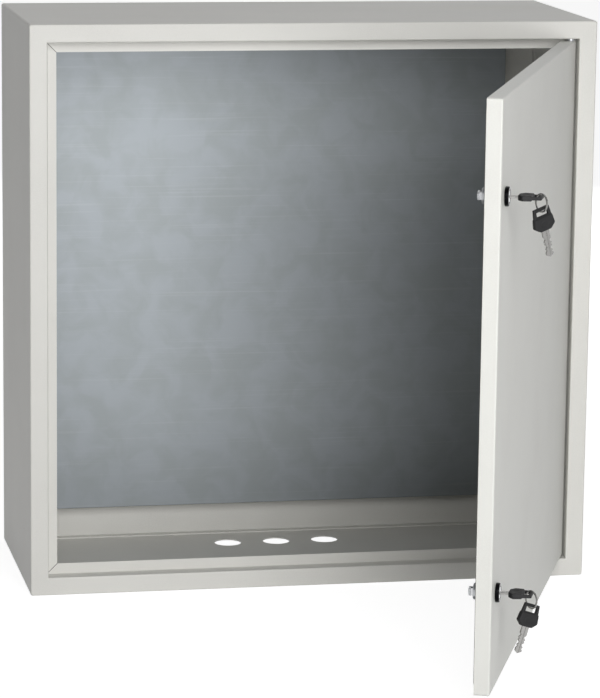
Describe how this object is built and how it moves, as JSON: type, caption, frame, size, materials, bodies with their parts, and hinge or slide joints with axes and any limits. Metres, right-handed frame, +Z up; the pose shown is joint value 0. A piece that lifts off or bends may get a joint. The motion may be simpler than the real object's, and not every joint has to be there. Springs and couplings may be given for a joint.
{
  "type": "steel wall enclosure",
  "caption": "Sheet steel wall cabinet with an inset hinged door, cam locks with keys, a galvanised mounting plate and round cable holes in the bottom.",
  "frame": {"origin": "middle of the back face, which lies against the wall, at the centre of the four fixing holes", "axes": "+X to the right seen from the front, +Y back into the wall, +Z up; the front faces -Y"},
  "size_m": [0.6, 0.7555, 0.6],
  "materials": {
    "body_paint": "powder coat, fine satin texture",
    "door_paint": "powder coat, fine satin texture",
    "galvanised_plate": "hot dip galvanised, faint horizontal grain",
    "zinc_plated": "bright zinc plate",
    "gasket_foam": "matt grey closed cell foam",
    "lock_chrome": "bright chrome plate",
    "lock_zinc": "dull zinc plate",
    "key_plastic": "moulded black, semi-matt",
    "key_steel": "nickel plated steel"
  },
  "bodies": {
    "cabinet": {"body_shell": "body_paint", "back_panel": "body_paint", "mounting_plate": "galvanised_plate", "plate_studs": "zinc_plated", "plate_spacers": "zinc_plated", "plate_washers": "zinc_plated", "plate_nuts": "zinc_plated", "body_earth_stud": "zinc_plated", "body_earth_washer": "zinc_plated", "body_earth_nut": "zinc_plated", "upper_hinge_pin": "zinc_plated", "lower_hinge_pin": "zinc_plated", "upper_hinge_washer": "zinc_plated", "lower_hinge_washer": "zinc_plated"},
    "door": {"door_panel": "door_paint", "door_gasket": "gasket_foam", "upper_hinge_bush": "zinc_plated", "lower_hinge_bush": "zinc_plated", "door_earth_stud": "zinc_plated", "door_earth_washer": "zinc_plated", "door_earth_nut": "zinc_plated", "upper_lock_barrel": "lock_chrome", "upper_lock_washer": "lock_zinc", "upper_lock_nut": "lock_zinc", "lower_lock_barrel": "lock_chrome", "lower_lock_washer": "lock_zinc", "lower_lock_nut": "lock_zinc"},
    "upper_lock": {"upper_lock_plug": "lock_chrome", "upper_lock_cam": "lock_zinc", "upper_cam_screw": "lock_zinc"},
    "upper_key": {"upper_key_blade": "key_steel", "upper_key_head": "key_plastic"},
    "upper_ring": {"upper_key_ring": "key_steel"},
    "upper_spare_key": {"upper_spare_key_blade": "key_steel", "upper_spare_key_head": "key_plastic"},
    "lower_lock": {"lower_lock_plug": "lock_chrome", "lower_lock_cam": "lock_zinc", "lower_cam_screw": "lock_zinc"},
    "lower_key": {"lower_key_blade": "key_steel", "lower_key_head": "key_plastic"},
    "lower_ring": {"lower_key_ring": "key_steel"},
    "lower_spare_key": {"lower_spare_key_blade": "key_steel", "lower_spare_key_head": "key_plastic"}
  },
  "joints": [
    {"name": "door_hinge", "type": "hinge", "parent": "cabinet", "child": "door", "pos_m": [0.2725, -0.245, 0], "axis": [0, 0, 1], "range_deg": [-67.5, 42.5]},
    {"name": "upper_lock_turn", "type": "hinge", "parent": "door", "child": "upper_lock", "pos_m": [0.07736, -0.72918, 0.186], "axis": [0.9239, -0.3827, 0], "range_deg": [0, 90]},
    {"name": "upper_key_pull", "type": "slide", "parent": "upper_lock", "child": "upper_key", "axis": [0.9239, -0.3827, 0], "range_m": [0, 0.025]},
    {"name": "upper_ring_swing", "type": "hinge", "parent": "upper_key", "child": "upper_ring", "pos_m": [0.10757, -0.74169, 0.186], "axis": [0.3827, -0.9239, 0], "range_deg": [-15, 15]},
    {"name": "upper_spare_swing", "type": "hinge", "parent": "upper_ring", "child": "upper_spare_key", "pos_m": [0.10784, -0.74234, 0.1731], "axis": [0.3827, -0.9239, 0], "range_deg": [-30, 30]},
    {"name": "lower_lock_turn", "type": "hinge", "parent": "door", "child": "lower_lock", "pos_m": [0.07736, -0.72918, -0.186], "axis": [0.9239, -0.3827, 0], "range_deg": [0, 90]},
    {"name": "lower_key_pull", "type": "slide", "parent": "lower_lock", "child": "lower_key", "axis": [0.9239, -0.3827, 0], "range_m": [0, 0.025]},
    {"name": "lower_ring_swing", "type": "hinge", "parent": "lower_key", "child": "lower_ring", "pos_m": [0.10757, -0.74169, -0.186], "axis": [0.3827, -0.9239, 0], "range_deg": [-15, 15]},
    {"name": "lower_spare_swing", "type": "hinge", "parent": "lower_ring", "child": "lower_spare_key", "pos_m": [0.10784, -0.74234, -0.1989], "axis": [0.3827, -0.9239, 0], "range_deg": [-15, 30]}
  ]
}
